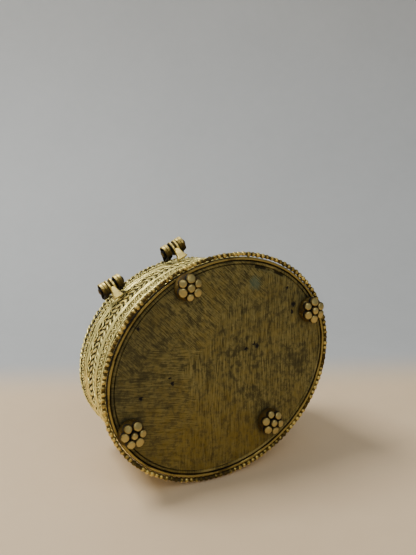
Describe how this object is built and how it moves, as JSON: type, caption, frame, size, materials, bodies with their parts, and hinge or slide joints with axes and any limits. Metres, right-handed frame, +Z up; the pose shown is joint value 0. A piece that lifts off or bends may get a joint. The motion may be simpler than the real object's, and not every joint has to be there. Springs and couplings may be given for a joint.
{
  "type": "oval spice box",
  "caption": "Small oval cast brass spice box on rosette feet, with beaded and plaited wire rows, a lid on ring hinges, and loose cups and a spoon inside.",
  "frame": {"origin": "on the surface under the feet, below the middle of the whole box with its hinges; the middle of the oval is 1.2 mm towards the front", "axes": "+X along the box, parallel to the hinge axis; +Y towards the hinges; +Z up through the lid"},
  "size_m": [0.1092, 0.0944, 0.0779],
  "materials": {
    "plate_brass": "hand-filed, dull olive brown",
    "shell_brass": "as cast, dark in the recesses",
    "thread_brass": "as cast, tops rubbed bright",
    "foot_brass": "as cast, tops rubbed bright",
    "hinge_brass": "rubbed, soft shine",
    "knob_brass": "rubbed, soft shine",
    "cup_brass": "beaten and polished"
  },
  "bodies": {
    "body": {"base_plate": "plate_brass", "base_edge_wire": "thread_brass", "base_bead_rim": "thread_brass", "foot_left": "foot_brass", "foot_right": "foot_brass", "foot_front": "foot_brass", "foot_hinge_side": "foot_brass", "body_wall": "shell_brass", "lower_wire": "thread_brass", "lower_plait": "thread_brass", "middle_wire": "thread_brass", "lozenge_row": "thread_brass", "upper_wire": "thread_brass", "upper_plait_1": "thread_brass", "upper_plait_2": "thread_brass", "triangle_row": "thread_brass", "hinge_tab_left": "hinge_brass", "hinge_tab_right": "hinge_brass", "hinge_pin_left": "hinge_brass", "hinge_pin_right": "hinge_brass"},
    "lid": {"lid_shell": "shell_brass", "lid_wire": "thread_brass", "lid_zigzag": "thread_brass", "lid_rope": "thread_brass", "dome_wire": "thread_brass", "dome_plait": "thread_brass", "knob_collar": "knob_brass", "knob": "knob_brass", "strap_left_outer": "hinge_brass", "strap_left_inner": "hinge_brass", "strap_right_outer": "hinge_brass", "strap_right_inner": "hinge_brass", "thumb_tab": "hinge_brass"},
    "cup_1": {"cup_1": "cup_brass"},
    "cup_2": {"cup_2": "cup_brass"},
    "cup_3": {"cup_3": "cup_brass"},
    "cup_4": {"cup_4": "cup_brass"},
    "cup_5": {"cup_5": "cup_brass"},
    "cup_6": {"cup_6": "cup_brass"},
    "spoon": {"spoon": "cup_brass"}
  },
  "joints": [
    {"name": "lid_hinge", "type": "hinge", "parent": "body", "child": "lid", "pos_m": [0, 0.0439, 0.0435], "axis": [-1, 0, 0], "range_deg": [0, 110]},
    {"name": "cup_1_lift", "type": "slide", "parent": "body", "child": "cup_1", "axis": [0, 0, 1], "range_m": [0, 0.009]},
    {"name": "cup_2_lift", "type": "slide", "parent": "body", "child": "cup_2", "axis": [0, 0, 1], "range_m": [0, 0.009]},
    {"name": "cup_3_lift", "type": "slide", "parent": "body", "child": "cup_3", "axis": [0, 0, 1], "range_m": [0, 0.009]},
    {"name": "cup_4_lift", "type": "slide", "parent": "body", "child": "cup_4", "axis": [0, 0, 1], "range_m": [0, 0.009]},
    {"name": "cup_5_lift", "type": "slide", "parent": "body", "child": "cup_5", "axis": [0, 0, 1], "range_m": [0, 0.009]},
    {"name": "cup_6_lift", "type": "slide", "parent": "body", "child": "cup_6", "axis": [0, 0, 1], "range_m": [0, 0.009]},
    {"name": "spoon_lift", "type": "slide", "parent": "body", "child": "spoon", "axis": [0, 0, 1], "range_m": [0, 0.036]}
  ]
}
